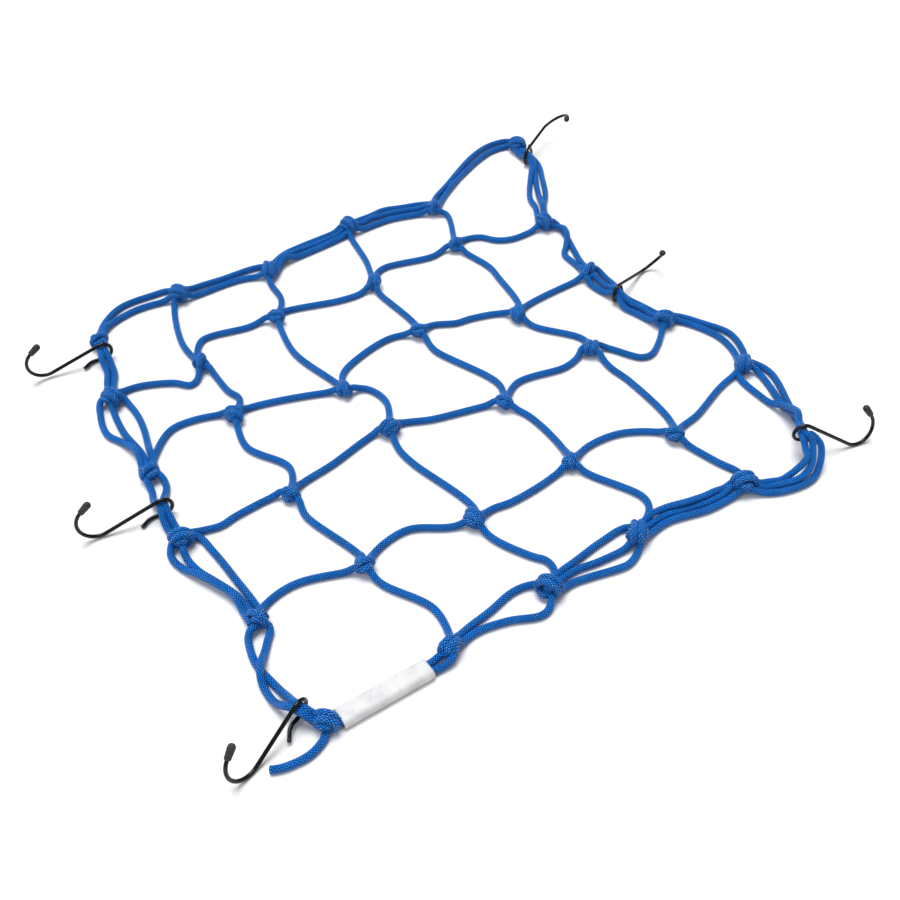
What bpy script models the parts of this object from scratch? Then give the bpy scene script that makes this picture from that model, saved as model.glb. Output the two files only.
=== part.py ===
"""Elastic cargo net: one knotted net of elastic cord, its label and six wire hooks with rubber tips.

The net lies flat on a surface. All sizes are in millimetres until a mesh is made. The plan has +X along
the front edge and +Y towards the back edge, and its zero lies beside the knot of the near left corner.
"""

import math
from typing import NamedTuple

import bmesh
import bpy
from mathutils import Euler, Vector

MM = 0.001
PLAN_MIDDLE = Vector((212.17, 204.97, 0.0))  # the middle of the whole part's box, in the plan

CORD_RADIUS = 2.45  # corner radius of the five-sided cord, for a cord 4.6 mm thick
CORD_SIDES = 5
CORD_REST = 2.3  # height of a cord's centre where it lies on the surface
PILE = 4.9  # distance between the centres of two cords that touch
STEP_UP = 0.04  # strands differ in height by a little, so that no two lie in one plane
CORD_SAMPLE = 3.0
TINY = 1e-6  # keeps a division clear of zero
CORD_SLACK = 1.1  # how far a simplified cord may stray from its curve
LABEL_SLACK = 0.2  # the same for the two cords in the label
STEEPEST = 0.6  # rise over run of a cord that climbs over another

KNOT_HEIGHT = 5.5  # height of a knot's middle
KNOT_FOOT = 1.2  # points of a knot lower than this are set on the surface
KNOT_REACH = 8.0  # a cord this near to a knot's middle is inside the knot
KNOT_CLEAR = 18.0  # cords of one knot lie level with each other this near to its middle
KNOT_RIDGES = 3
KNOT_GROOVE = 0.84  # a knot's radius between its ridges, as a share of that on them
KNOT_TAPER = 0.72  # how much of a knot's squared radius is gone at its ends
KNOT_FLATNESS = 0.92  # a knot's height as a share of its width
KNOT_SIDES = 6
LEVELS = 7  # strands lie at this many slightly different heights

WIRE_RADIUS = 1.3
WIRE_SIDES = 6
SHANK = 38.0
BOW_RADIUS = 12.7
BOW_TURN = 158.0
ARM = 8.0
EYE_RADIUS = 6.6
EYE_TURN = 200.0
EYE_POINTS = 9
BOW_POINTS = 10
TAIL = 9.0  # the straight part of the wire's short end
TAIL_END = 9.0  # the part that is bent aside
TAIL_ASIDE = 37.0
EYE_REACH = 16.0  # cords that share an eye lie level with each other this near to it
EYE_SPREAD = 1.7  # distance of each cord's centre from the middle of the cords in an eye
EYE_SEATS = {2: 1.7, 3: 0.6}  # how far that middle lies above the eye's, for two or three cords
EYE_TURNS = {2: (0, 180), 3: (330, 90, 210)}  # the way to each cord's centre from that middle

TIP_RADIUS = 3.0
TIP_LENGTH = 9.6
TIP_COVER = 1.3  # thickness of the rubber past the wire's end
TIP_SHOULDER = 1.2
TIP_BEVEL = 0.3
TIP_CROWN = 0.7  # radius of the tip's flat end, as a share of its radius
TIP_SIDES = 12
GAP = 0.3

LABEL_WALL = 0.8
LABEL_RAMP = 4.0  # the cords start to rise this far outside the label
LABEL_ROUNDING = 0.8  # corner radius of the label's section, as a share of half its height
LABEL_STEPS = 4
LABELLED = ("10", "00")  # the knots at the ends of the two cords in the label
SLIVER = 0.02  # edges of the joined net shorter than this are collapsed
NET_SHARE = 0.74  # share of the joined net's triangles that are kept


class Knot(NamedTuple):
    """A knot: its place in the plan, its width and the heading of its turns in degrees."""

    x: float
    y: float
    width: float
    heading: float


class Strand(NamedTuple):
    """A cord between two knots, by its bends in the plan, and the hook whose eye holds it, if any."""

    start: str
    end: str
    bends: tuple
    hook: str = ""


class Hook(NamedTuple):
    """A hook: the plan place of its eye, the way it points, its slope and how far its bow and eye lean."""

    x: float
    y: float
    heading: float
    slope: float
    bow_lean: float
    eye_lean: float


# A knot's name is its column, counted from the left, and its row, counted from the front.
KNOTS = {
    "00": Knot(-1, -7, 16, 60),
    "10": Knot(85, -4, 15, 120),
    "20": Knot(160, -2, 18, 20),
    "30": Knot(233, 1, 18, 150),
    "40": Knot(321, -5, 18, 80),
    "01": Knot(0, 77, 16, 10),
    "11": Knot(75, 77, 15, 100),
    "21": Knot(154, 70, 15, 40),
    "31": Knot(238, 76, 14, 130),
    "41": Knot(314, 56, 14, 70),
    "51": Knot(404, 82, 16, 150),
    "02": Knot(-11, 161, 16, 90),
    "12": Knot(66, 156, 14, 20),
    "22": Knot(153, 172, 15, 110),
    "32": Knot(235, 149, 14, 50),
    "42": Knot(323, 160, 14, 140),
    "52": Knot(390, 154, 16, 30),
    "03": Knot(-4, 226, 15, 120),
    "13": Knot(69, 245, 14, 60),
    "23": Knot(147, 224, 14, 150),
    "33": Knot(227, 249, 14, 80),
    "43": Knot(301, 223, 14, 10),
    "53": Knot(380, 234, 16, 100),
    "04": Knot(4, 309, 16, 40),
    "14": Knot(74, 308, 15, 130),
    "24": Knot(145, 324, 14, 70),
    "34": Knot(230, 319, 14, 160),
    "44": Knot(312, 324, 14, 90),
    "54": Knot(391, 308, 16, 20),
    "05": Knot(21, 373, 15, 110),
    "15": Knot(95, 391, 16, 50),
    "25": Knot(168, 378, 16, 140),
    "35": Knot(252, 395, 16, 30),
    "45": Knot(326, 378, 15, 120),
    "55": Knot(443, 417, 16, 60),
}

# Cords that run side by side are listed from the left one to the right one.
STRANDS = (
    Strand("04", "14", ((12, 314), (25, 314), (49, 303), (58, 294), (64, 296))),
    Strand("14", "24", ((78, 324), (88, 335), (123, 329), (136, 329))),
    Strand("24", "34", ((152, 330), (197, 318), (213, 316))),
    Strand("34", "44", ((239, 330), (249, 334), (289, 325), (303, 327))),
    Strand("44", "54", ((324, 329), (337, 325), (346, 314), (358, 308))),
    Strand("03", "13", ((8, 244), (29, 260), (63, 253))),
    Strand("13", "23", ((78, 249), (137, 231))),
    Strand("23", "33", ((156, 242), (174, 251), (208, 257))),
    Strand("33", "43", ((241, 252), (258, 244), (271, 242), (295, 233))),
    Strand("43", "53", ((313, 230),)),
    Strand("02", "12", ((-2, 164), (16, 160), (28, 162), (61, 162))),
    Strand("12", "22", ((74, 162), (103, 167), (147, 176))),
    Strand("22", "32", ((162, 175), (184, 166), (231, 153))),
    Strand("32", "42", ((257, 163), (296, 157), (310, 160), (319, 164))),
    Strand("42", "52", ((333, 159), (350, 134), (358, 132), (370, 138))),
    Strand("01", "11", ((8, 86), (32, 91))),
    Strand("11", "21", ((90, 86), (115, 89), (138, 76))),
    Strand("21", "31", ((170, 73), (184, 71), (209, 72), (229, 75))),
    Strand("31", "41", ((259, 83), (287, 80), (311, 64))),
    Strand("41", "51", ((325, 61), (342, 64), (378, 77))),
    Strand("15", "14", ((89, 387), (73, 340))),
    Strand("14", "13", ((77, 301), (78, 273), (81, 261))),
    Strand("13", "12", ((63, 214), (78, 181))),
    Strand("12", "11", ((68, 151), (66, 136), (78, 87))),
    Strand("11", "10", ((78, 60), (94, 27), (90, 3))),
    Strand("25", "24", ((163, 368), (160, 344))),
    Strand("24", "23", ((138, 282), (147, 236))),
    Strand("23", "22", ((162, 219), (167, 200))),
    Strand("22", "21", ((149, 153), (150, 137), (161, 80))),
    Strand("21", "20", ((157, 50), (168, 27), (174, 18), (173, 9))),
    Strand("35", "34", ((248, 386), (241, 349))),
    Strand("34", "33", ((228, 310), (231, 261))),
    Strand("33", "32", ((228, 241), (227, 226), (245, 169))),
    Strand("32", "31", ((243, 131), (243, 89))),
    Strand("31", "30", ((244, 60), (260, 26), (257, 16))),
    Strand("45", "44", ((327, 373), (332, 368))),
    Strand("44", "43", ((320, 287), (318, 271), (311, 234))),
    Strand("43", "42", ((306, 206), (327, 175))),
    Strand("42", "41", ((325, 153), (324, 137), (326, 119), (323, 70))),
    Strand("41", "40", ((323, 22), (328, 6))),
    Strand("05", "15", ((33, 394), (52, 406), (79, 406), (91, 404))),
    Strand("05", "15", ((31, 387), (58, 396), (88, 392))),
    Strand("15", "25", ((107, 396), (132, 394), (167, 390))),
    Strand("15", "25", ((103, 387), (146, 385))),
    Strand("25", "35", ((189, 395), (206, 397), (240, 398))),
    Strand("25", "35", ((186, 390), (203, 392), (237, 393))),
    Strand("25", "35", ((184, 385), (200, 386), (234, 388))),
    Strand("35", "45", ((264, 402), (277, 402), (290, 403), (305, 398), (327, 389))),
    Strand("35", "45", ((266, 397), (292, 396), (323, 384))),
    Strand("35", "45", ((257, 389), (272, 389), (290, 388), (319, 378))),
    Strand("45", "55", ((336, 392), (355, 403), (403, 430), (426, 436), (444, 432))),
    Strand("45", "55", ((344, 390), (379, 411), (421, 427), (439, 424))),
    Strand("55", "54", ((443, 386), (432, 364), (420, 344), (407, 329)), "back_right"),
    Strand("55", "54", ((437, 384), (421, 358), (411, 340), (404, 327)), "back_right"),
    Strand("55", "54", ((436, 386), (423, 370), (413, 358), (405, 346), (401, 333)), "back_right"),
    Strand("54", "53", ((400, 304), (400, 294), (396, 281), (386, 252))),
    Strand("54", "53", ((399, 297), (396, 283), (387, 273), (381, 267), (380, 249))),
    Strand("53", "52", ((389, 233), (389, 222), (388, 210), (388, 186), (392, 172)), "right"),
    Strand("53", "52", ((382, 212), (383, 186), (386, 178)), "right"),
    Strand("53", "52", ((374, 229), (374, 219), (376, 209), (377, 187), (381, 173)), "right"),
    Strand("52", "51", ((402, 157), (416, 136), (424, 117), (418, 96))),
    Strand("52", "51", ((399, 152), (414, 122), (412, 100))),
    Strand(
        "51",
        "40",
        (
            (414, 83), (418, 68), (406, 38), (398, 23), (383, -6),
            (384, -12), (376, -21), (363, -26), (339, -22),
        ),
        "front_right",
    ),
    Strand(
        "51",
        "40",
        ((410, 74), (400, 37), (394, 21), (377, -10), (368, -20), (359, -22), (349, -21), (337, -16)),
        "front_right",
    ),
    Strand(
        "51",
        "40",
        ((395, 76), (394, 50), (395, 32), (391, 19), (372, -9), (367, -16), (351, -16), (332, -8)),
        "front_right",
    ),
    Strand("40", "30", ((315, -8), (289, -7), (258, 0))),
    Strand("40", "30", ((314, -2), (299, -3), (254, 5))),
    Strand("40", "30", ((314, 1), (299, 1), (282, 3), (255, 9))),
    Strand("30", "20", ((229, -7), (222, -11), (215, -13), (207, -12), (187, -7), (176, -5))),
    Strand("30", "20", ((224, -2), (202, -1), (181, 2))),
    Strand("30", "20", ((233, 11), (212, 11), (190, 8), (176, 6))),
    Strand("20", "10", ((157, -9), (152, -13), (145, -14), (126, -6), (104, -2))),
    Strand("20", "10", ((154, 8), (147, 10), (139, 10), (121, 6), (102, 3))),
    Strand("10", "00", ((76, -5), (70, -5.7), (38, -5.7), (7, -5.7))),
    Strand("10", "00", ((84, -10), (76, -11.5), (68, -10.9), (38, -10.9), (7, -10.9))),
    Strand("01", "00", ((-9, 72), (-13, 63), (-15, 50), (-13, 35), (-11, 23)), "front_left"),
    Strand("01", "00", ((4, 70), (-2, 62), (-14, 47), (-18, 39), (-19, 30), (-18, 18)), "front_left"),
    Strand("02", "01", ((0, 158), (2, 145), (3, 134), (4, 114), (5, 95))),
    Strand("02", "01", ((-14, 151), (-14, 142), (-12, 132), (-8, 122), (-1, 101))),
    Strand("02", "01", ((-21, 157), (-22, 150), (-19, 139), (-10, 119), (-4, 102))),
    Strand("03", "02", ((2, 219), (1, 211), (-5, 201), (-9, 180)), "left"),
    Strand("03", "02", ((-8, 221), (-9, 212), (-12, 202), (-14, 180)), "left"),
    Strand("04", "03", ((11, 308), (13, 296), (13, 284), (11, 270), (6, 250))),
    Strand("04", "03", ((1, 301), (-2, 275), (0, 248))),
    Strand("04", "03", ((-5, 310), (-9, 300), (-12, 288), (-12, 278), (-7, 267), (-3, 248))),
    Strand("05", "04", ((19, 347), (17, 336), (12, 326)), "back_left"),
    Strand("05", "04", ((14, 349), (13, 340), (8, 328)), "back_left"),
)

# The cut end of the cord, from the near left knot.
LOOSE_END = ((-4, -13), (-10, -16), (-19, -19), (-28, -18), (-36, -17), (-41, -14))

HOOKS = {
    "back_left": Hook(18, 358, 174.5, 16, -1, 0),
    "left": Hook(-10, 191, 173, 17.6, 7, 0),
    "front_left": Hook(-11, 6, -158, 21.5, 14.5, 0),
    "front_right": Hook(377.4, -0.6, -26.4, 33.2, -23.8, 0),
    "right": Hook(380, 198.6, 22, 17, 33, 0),
    "back_right": Hook(438.7, 395.9, 31, -1, 54.5, 0),
}


class Label(NamedTuple):
    """The wrapped label: the two ends of its middle line in the plan, its width and its height."""

    start: tuple
    end: tuple
    width: float
    height: float


LABEL = Label((67.5, -8.3), (10.5, -8.3), 14.0, 7.4)


def clear_scene():
    """Removes whatever objects the scene starts with."""
    for item in list(bpy.data.objects):
        bpy.data.objects.remove(item, do_unlink=True)


def make_material(name, colour, roughness):
    """A plain material with one colour."""
    material = bpy.data.materials.new(name)
    material.use_nodes = True
    shader = material.node_tree.nodes["Principled BSDF"]
    shader.inputs["Base Color"].default_value = (*colour, 1.0)
    shader.inputs["Roughness"].default_value = roughness
    return material


def smooth_curve(points, spacing):
    """Points along a centripetal Catmull-Rom curve through the given ones, about a spacing apart."""
    ends = [points[0] * 2 - points[1], *points, points[-1] * 2 - points[-2]]
    curve = []
    for before, first, second, after in zip(ends, ends[1:], ends[2:], ends[3:]):
        chords = (first - before, second - first, after - second)
        spans = [max(chord.length, TINY) ** 0.5 for chord in chords]
        start_speed = (first - before) / spans[0] - (second - before) / (spans[0] + spans[1])
        start_speed = (start_speed + (second - first) / spans[1]) * spans[1]
        end_speed = (second - first) / spans[1] - (after - first) / (spans[1] + spans[2])
        end_speed = (end_speed + (after - second) / spans[2]) * spans[1]
        count = max(2, round((second - first).length / spacing))
        for step in range(count):
            t = step / count
            curve.append(
                first * (2 * t**3 - 3 * t**2 + 1)
                + start_speed * (t**3 - 2 * t**2 + t)
                + second * (3 * t**2 - 2 * t**3)
                + end_speed * (t**3 - t**2)
            )
    curve.append(points[-1].copy())
    return curve


def simplified(points, slack):
    """The same line with as few points as keep it within the slack."""
    first, last = points[0], points[-1]
    along = last - first
    worst, index = 0.0, 0
    for number, point in enumerate(points[1:-1], 1):
        share = max(0.0, min(1.0, (point - first).dot(along) / max(along.length_squared, TINY)))
        stray = (first + along * share - point).length
        if stray > worst:
            worst, index = stray, number
    if worst <= slack:
        return [first, last]
    return simplified(points[: index + 1], slack)[:-1] + simplified(points[index:], slack)


def hook_frame(hook, lean):
    """The rotation of a hook's plane: local x runs along the shank, local z points to the bow's side."""
    angles = [math.radians(angle) for angle in (lean, hook.slope, hook.heading)]
    return Euler(angles, "XYZ").to_matrix()


def hook_paths(hook):
    """The hook's middle line from its short end to its tip, and the middle of its eye."""
    eye_frame = hook_frame(hook, hook.eye_lean)
    bow_frame = hook_frame(hook, hook.bow_lean)
    eye = []
    for step in range(EYE_POINTS):
        turn = math.radians(EYE_TURN * (1 - step / (EYE_POINTS - 1)))
        eye.append(eye_frame @ Vector((-math.sin(turn), 0, math.cos(turn) - 1)) * EYE_RADIUS)
    turn, aside = math.radians(EYE_TURN), math.radians(TAIL_ASIDE)
    ahead = Vector((-math.cos(turn), 0, -math.sin(turn)))
    straight_end = eye[0] + eye_frame @ ahead * TAIL
    out = ahead * math.cos(aside) + Vector((0, math.sin(aside), 0))
    tail = [straight_end + eye_frame @ out * TAIL_END, straight_end]
    bow = []
    for step in range(BOW_POINTS):
        turn = math.radians(BOW_TURN * step / (BOW_POINTS - 1))
        round_bow = Vector((math.sin(turn), 0, 1 - math.cos(turn))) * BOW_RADIUS
        bow.append(bow_frame @ (Vector((SHANK, 0, 0)) + round_bow))
    turn = math.radians(BOW_TURN)
    tip = [bow[-1] + bow_frame @ Vector((math.cos(turn), 0, math.sin(turn))) * ARM]
    middle = eye_frame @ Vector((0, 0, -EYE_RADIUS))
    path = tail + eye + bow + tip
    lift = WIRE_RADIUS - min(point.z for point in path)
    shift = Vector((hook.x - middle.x, hook.y - middle.y, lift))
    return [point + shift for point in path], middle + shift


def eye_point(hook, count, number):
    """Where one of the cords in an eye has its centre, counted from the strand that is listed first."""
    middle = hook_paths(hook)[1]
    heading = math.radians(hook.heading)
    sideways = Vector((math.cos(heading), math.sin(heading), 0))
    if sideways.x < 0:
        sideways = -sideways
    up = Vector((0, 0, 1))
    turn = math.radians(EYE_TURNS[count][number])
    spread = (sideways * math.cos(turn) + up * math.sin(turn)) * EYE_SPREAD
    return middle + spread + up * EYE_SEATS[count]


def rest_height(point):
    """How high a cord's centre lies on the surface, or on the label's wall under it."""
    inside = LABEL.end[0] - LABEL_RAMP < point.x < LABEL.start[0] + LABEL_RAMP
    inside = inside and abs(point.y - LABEL.start[1]) < LABEL.width / 2
    return CORD_REST + (LABEL_WALL + GAP if inside else 0.0)


def knot_port(name, toward, number, count):
    """Where a cord meets its knot's middle, beside the others that run the same way."""
    knot = KNOTS[name]
    middle = Vector((knot.x, knot.y, KNOT_HEIGHT))
    away = Vector((toward.x - knot.x, toward.y - knot.y, 0)).normalized()
    left = Vector((-away.y, away.x, 0))
    return middle + left * PILE * ((count - 1) / 2 - number)


def plan_route(strand):
    """A strand's curve with its heights still level, and the point that an eye holds, if any."""
    points = [Vector((x, y, CORD_REST)) for x, y in strand.bends]
    beside = [other for other in STRANDS if (other.start, other.end) == (strand.start, strand.end)]
    number, count = beside.index(strand), len(beside)
    held = None
    if strand.hook:
        held = eye_point(HOOKS[strand.hook], count, number)
        behind = sum(1 for point in points if point.y > held.y)
        points.insert(behind, held)
    first = knot_port(strand.start, points[0], number, count)
    last = knot_port(strand.end, points[-1], count - 1 - number, count)
    return smooth_curve([first, *points, last], CORD_SAMPLE), held


def settled_routes():
    """Every strand's curve, each lying on the surface or on the strands listed before it."""
    routes = []
    laid = []
    for strand in STRANDS:
        route, held = plan_route(strand)
        ends = {name: Vector((KNOTS[name].x, KNOTS[name].y)) for name in (strand.start, strand.end)}
        fixed = []
        for point in route:
            near = {name: (point.xy - end).length for name, end in ends.items()}
            beside_eye = held is not None and (point.xy - held.xy).length < EYE_REACH
            if held is not None and (point.xy - held.xy).length < PILE:
                point.z = held.z
                fixed.append(True)
            elif min(near.values()) < KNOT_REACH:
                point.z = KNOT_HEIGHT
                fixed.append(True)
            else:
                point.z = rest_height(point) + STEP_UP * (len(routes) % LEVELS)
                fixed.append(False)
                shared = {name for name, distance in near.items() if distance < KNOT_CLEAR}
                for other, laid_strand in laid:
                    apart = (point.xy - other.xy).length
                    level = beside_eye and laid_strand.hook == strand.hook
                    level = level or shared & {laid_strand.start, laid_strand.end}
                    if apart < PILE and not level:
                        point.z = max(point.z, other.z + math.sqrt(PILE**2 - apart**2))
        for order in (range(1, len(route)), range(len(route) - 2, -1, -1)):
            for number in order:
                if not fixed[number]:
                    beside = route[number - order.step]
                    drop = (route[number].xy - beside.xy).length * STEEPEST
                    route[number].z = max(route[number].z, beside.z - drop)
        laid += [(point, strand) for point, in_place in zip(route, fixed) if not in_place]
        routes.append(route)
    return routes


def ring_faces(rings, count):
    """The faces that join each ring of corners to the next one, each ring given by its number."""
    faces = []
    for low, high in zip(rings, rings[1:]):
        for corner in range(count):
            beside = (corner + 1) % count
            lower = (low * count + corner, low * count + beside)
            faces.append((*lower, high * count + beside, high * count + corner))
    return faces


def tube(points, radius, sides, side_ways=None):
    """A closed tube along a line of points, as vertices and faces, with a flat of its section below.

    The line either stays clear of the vertical or comes with a sideways direction for each point.
    """
    vertices = []
    last = len(points) - 1
    for number, point in enumerate(points):
        before, after = points[max(number - 1, 0)], points[min(number + 1, last)]
        along = (after - before).normalized()
        side = side_ways[number] if side_ways else along.cross(Vector((0, 0, 1)))
        side = (side - along * side.dot(along)).normalized()
        above = side.cross(along)
        for corner in range(sides):
            turn = 2 * math.pi * (corner + 0.5) / sides - math.pi / 2
            vertices.append(point + (side * math.cos(turn) + above * math.sin(turn)) * radius)
    faces = ring_faces(range(len(points)), sides)
    faces.append(tuple(reversed(range(sides))))
    faces.append(tuple(last * sides + corner for corner in range(sides)))
    return vertices, faces


def knot_lump(knot):
    """A knot as a barrel with a ridge for each turn of cord and a flat foot, as vertices and faces."""
    heading = math.radians(knot.heading)
    along = Vector((math.cos(heading), math.sin(heading), 0))
    side = Vector((-along.y, along.x, 0))
    vertices = []
    rings, sides = 2 * KNOT_RIDGES + 1, KNOT_SIDES
    for ring in range(rings):
        share = ring / (rings - 1) * 2 - 1
        radius = knot.width / 2 * math.sqrt(1 - KNOT_TAPER * share**2)
        if ring % 2 == 0:
            radius *= KNOT_GROOVE
        middle = Vector((knot.x, knot.y, KNOT_HEIGHT)) + along * share * knot.width / 2
        for corner in range(sides):
            turn = 2 * math.pi * corner / sides
            up = Vector((0, 0, KNOT_FLATNESS * math.sin(turn)))
            point = middle + (side * math.cos(turn) + up) * radius
            if point.z < KNOT_FOOT:
                point.z = 0.0
            vertices.append(point)
    faces = ring_faces(range(rings), sides)
    faces.append(tuple(reversed(range(sides))))
    faces.append(tuple((rings - 1) * sides + corner for corner in range(sides)))
    return vertices, faces


def make_object(name, shape, material):
    """An object in the part's own frame, in metres, from vertices and faces in the plan."""
    vertices, faces = shape
    mesh = bpy.data.meshes.new(name)
    mesh.from_pydata([(vertex - PLAN_MIDDLE) * MM for vertex in vertices], [], faces)
    work = bmesh.new()
    work.from_mesh(mesh)
    bmesh.ops.recalc_face_normals(work, faces=work.faces)
    work.to_mesh(mesh)
    work.free()
    mesh.materials.append(material)
    made = bpy.data.objects.new(name, mesh)
    bpy.context.scene.collection.objects.link(made)
    return made


def clean_up(mesh):
    """Deletes every shell but the largest, such as a pocket that cords enclose, and collapses slivers."""
    work = bmesh.new()
    work.from_mesh(mesh)
    unseen = set(work.verts)
    shells = []
    while unseen:
        shell, waiting = [], [unseen.pop()]
        while waiting:
            vertex = waiting.pop()
            shell.append(vertex)
            for edge in vertex.link_edges:
                other = edge.other_vert(vertex)
                if other in unseen:
                    unseen.remove(other)
                    waiting.append(other)
        shells.append(shell)
    shells.sort(key=len)
    for shell in shells[:-1]:
        bmesh.ops.delete(work, geom=shell, context="VERTS")
    bmesh.ops.triangulate(work, faces=work.faces)
    bmesh.ops.dissolve_degenerate(work, dist=SLIVER * MM, edges=work.edges)
    bmesh.ops.triangulate(work, faces=work.faces)
    work.to_mesh(mesh)
    work.free()


def apply_modifiers(item):
    """Makes an object's evaluated mesh its own mesh."""
    depsgraph = bpy.context.evaluated_depsgraph_get()
    item.data = bpy.data.meshes.new_from_object(item.evaluated_get(depsgraph))
    item.modifiers.clear()


def make_net(material):
    """Makes the net: knots and strands joined into one body."""
    shapes = [knot_lump(knot) for knot in KNOTS.values()]
    for strand, route in zip(STRANDS, settled_routes()):
        slack = LABEL_SLACK if (strand.start, strand.end) == LABELLED else CORD_SLACK
        shapes.append(tube(simplified(route, slack), CORD_RADIUS, CORD_SIDES))
    near = KNOTS["00"]
    loose = [Vector((near.x, near.y, KNOT_HEIGHT)), *(Vector((x, y, CORD_REST)) for x, y in LOOSE_END)]
    shapes.append(tube(simplified(smooth_curve(loose, CORD_SAMPLE), CORD_SLACK), CORD_RADIUS, CORD_SIDES))
    net = make_object("net", shapes[0], material)
    pieces = bpy.data.collections.new("net pieces")
    helpers = [make_object("net piece", shape, material) for shape in shapes[1:]]
    for helper in helpers:
        pieces.objects.link(helper)
    union = net.modifiers.new("union", "BOOLEAN")
    union.operation = "UNION"
    union.solver = "EXACT"
    union.operand_type = "COLLECTION"
    union.collection = pieces
    apply_modifiers(net)
    for helper in helpers:
        bpy.data.objects.remove(helper, do_unlink=True)
    bpy.data.collections.remove(pieces)
    clean_up(net.data)
    thinner = net.modifiers.new("thinner", "DECIMATE")
    thinner.ratio = NET_SHARE
    apply_modifiers(net)
    for vertex in net.data.vertices:
        vertex.co.z = max(vertex.co.z, 0.0)


def make_hook(name, hook, wire, rubber):
    """Makes a hook's wire and the rubber tip on its open end."""
    path = hook_paths(hook)[0]
    across = Vector((0, 1, 0))
    side_ways = [hook_frame(hook, hook.eye_lean) @ across] * (2 + EYE_POINTS)
    side_ways += [hook_frame(hook, hook.bow_lean) @ across] * (BOW_POINTS + 1)
    make_object(f"hook_{name}", tube(path, WIRE_RADIUS, WIRE_SIDES, side_ways), wire)
    end = path[-1]
    along = (path[-1] - path[-2]).normalized()
    side = along.orthogonal().normalized()
    other = along.cross(side)
    dome = GAP + TIP_COVER
    mouth = dome - TIP_LENGTH
    outline = (
        (WIRE_RADIUS + GAP, GAP),
        (WIRE_RADIUS + GAP, mouth),
        (TIP_RADIUS - TIP_BEVEL, mouth),
        (TIP_RADIUS, mouth + 2 * TIP_BEVEL),
        (TIP_RADIUS, dome - TIP_SHOULDER),
        (TIP_RADIUS * TIP_CROWN, dome),
    )
    vertices = []
    for radius, reach in outline:
        for corner in range(TIP_SIDES):
            turn = 2 * math.pi * corner / TIP_SIDES
            out = side * math.cos(turn) + other * math.sin(turn)
            vertices.append(end + along * reach + out * radius)
    faces = ring_faces(range(len(outline)), TIP_SIDES)
    faces.append(tuple(range(TIP_SIDES)))
    faces.append(tuple(len(vertices) - 1 - corner for corner in range(TIP_SIDES)))
    make_object(f"tip_{name}", (vertices, faces), rubber)


def make_label(material):
    """Makes the label: a flattened sleeve round the two cords of the front edge."""
    start, end = Vector((*LABEL.start, 0.0)), Vector((*LABEL.end, 0.0))
    along = (end - start).normalized()
    side = Vector((-along.y, along.x, 0))
    outlines = []
    for inset in (0.0, LABEL_WALL):
        half, top, low = LABEL.width / 2 - inset, LABEL.height - inset, inset
        corner = (LABEL.height / 2 - inset) * LABEL_ROUNDING
        outline = []
        for middle_x, middle_z, first in (
            (half - corner, low + corner, -90),
            (half - corner, top - corner, 0),
            (-half + corner, top - corner, 90),
            (-half + corner, low + corner, 180),
        ):
            for step in range(LABEL_STEPS):
                turn = math.radians(first + 90 * step / (LABEL_STEPS - 1))
                outline.append((middle_x + math.cos(turn) * corner, middle_z + math.sin(turn) * corner))
        outlines.append(outline)
    vertices = []
    for place in (start, end):
        for outline in outlines:
            vertices += [place + side * x + Vector((0, 0, z)) for x, z in outline]
    faces = ring_faces((0, 2, 3, 1, 0), len(outlines[0]))
    make_object("label", (vertices, faces), material)


def main():
    """Builds the whole part."""
    clear_scene()
    blue = make_material("blue braided cord", (0.011, 0.107, 0.527), 0.8)
    black = make_material("black coated wire", (0.012, 0.012, 0.014), 0.25)
    rubber = make_material("dark rubber", (0.03, 0.03, 0.032), 0.75)
    white = make_material("white woven label", (0.78, 0.78, 0.78), 0.8)
    make_net(blue)
    make_label(white)
    for name, hook in HOOKS.items():
        make_hook(name, hook, black, rubber)


main()
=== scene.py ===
"""Looks of an elastic cargo net that lies flat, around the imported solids.

The net is tied from one braided elastic cord. Six wire hooks with rubber tips hang in its border, and a
woven label is wrapped round two cords of the front edge. Sizes in this file are in millimetres, and the
plan has +X along the front edge and +Y towards the back edge. Meshes are made in metres, in the frame of
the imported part.
"""

import logging
import math
from dataclasses import dataclass, field
from enum import Enum
from typing import Any

import bpy
from mathutils import Euler, Matrix, Vector

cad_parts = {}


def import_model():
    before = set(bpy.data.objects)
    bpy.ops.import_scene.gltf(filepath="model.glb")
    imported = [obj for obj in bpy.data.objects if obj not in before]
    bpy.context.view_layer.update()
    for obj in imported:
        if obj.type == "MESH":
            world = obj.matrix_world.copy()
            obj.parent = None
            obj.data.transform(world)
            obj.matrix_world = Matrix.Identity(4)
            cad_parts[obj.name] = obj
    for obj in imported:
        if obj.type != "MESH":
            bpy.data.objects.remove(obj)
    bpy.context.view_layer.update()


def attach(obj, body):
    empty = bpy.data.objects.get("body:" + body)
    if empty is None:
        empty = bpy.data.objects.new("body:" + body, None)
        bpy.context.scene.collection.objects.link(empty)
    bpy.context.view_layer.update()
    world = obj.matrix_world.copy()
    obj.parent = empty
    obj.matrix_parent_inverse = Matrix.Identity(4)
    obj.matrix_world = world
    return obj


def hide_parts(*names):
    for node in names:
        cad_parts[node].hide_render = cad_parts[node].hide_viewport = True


LOG = logging.getLogger("cargo_net")
MM = 0.001
PLAN_MIDDLE = Vector((212.17, 204.97, 0.0))
UP = Vector((0.0, 0.0, 1.0))
BRAID_MAP = "braid"
TINY = 1e-6  # keeps a division clear of zero
BAND_PITCH = 0.314  # a wave texture at scale 1 has one band for this much of its coordinate


class CordEnd(Enum):
    """How a swept cord or wire ends."""

    HIDDEN = "inside something"
    SHEARED = "cut square, with a small bevel"
    MELTED = "cut hot, so that it is rounded and a little thicker"


class Tie(Enum):
    """How many turns of cord lie side by side round a knot."""

    SINGLE = 1
    DOUBLE = 2


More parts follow.
